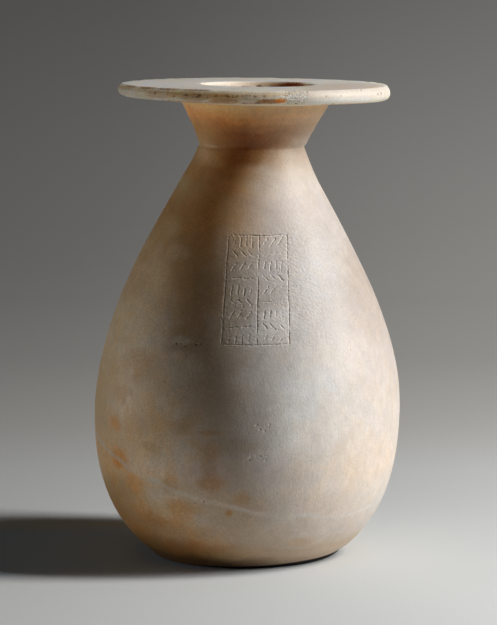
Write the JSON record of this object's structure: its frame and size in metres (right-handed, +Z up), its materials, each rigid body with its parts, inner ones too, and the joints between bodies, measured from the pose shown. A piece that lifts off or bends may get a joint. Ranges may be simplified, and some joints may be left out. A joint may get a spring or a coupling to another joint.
{
  "type": "piriform stone jar",
  "caption": "Pear-shaped hollow stone jar with a flaring collar, a wide flat disc rim, a small flat foot and an incised two-column panel.",
  "frame": {"origin": "centre of the foot's flat underside", "axes": "+Z up along the jar, -Y towards the front, which carries the incised panel, +X to the right of the front"},
  "size_m": [0.2082, 0.2082, 0.3207],
  "materials": {
    "travertine": "hand-ground and polished, soft low gloss, slightly translucent"
  },
  "bodies": {
    "root": {"jar": "travertine"}
  },
  "joints": []
}
